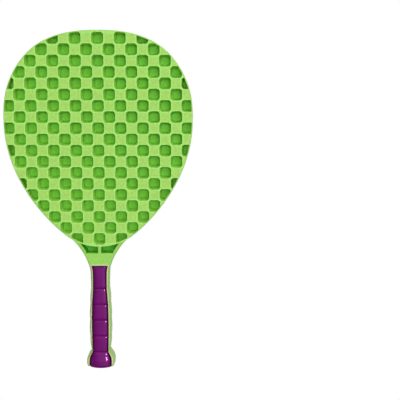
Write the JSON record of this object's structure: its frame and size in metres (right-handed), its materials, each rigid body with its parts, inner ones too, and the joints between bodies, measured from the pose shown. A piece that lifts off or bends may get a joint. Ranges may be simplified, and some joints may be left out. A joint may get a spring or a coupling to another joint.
{
  "type": "beach tennis racket",
  "caption": "Moulded paddle with a teardrop head of checkerboard cells, open to either side by turns, and a ribbed two-rail handle with pressed-in grip inserts.",
  "frame": {"origin": "centre of the bounding box in plan, at the lowest level of the butt as the racket lies face up", "axes": "+X across the head, +Y from the butt to the tip, +Z out of the front face"},
  "size_m": [0.2104, 0.3804, 0.026],
  "materials": {
    "green_plastic": "satin moulded",
    "purple_plastic": "glossy moulded"
  },
  "bodies": {
    "root": {"racket_body": "green_plastic", "front_grip_insert": "purple_plastic", "back_grip_insert": "purple_plastic"}
  },
  "joints": []
}
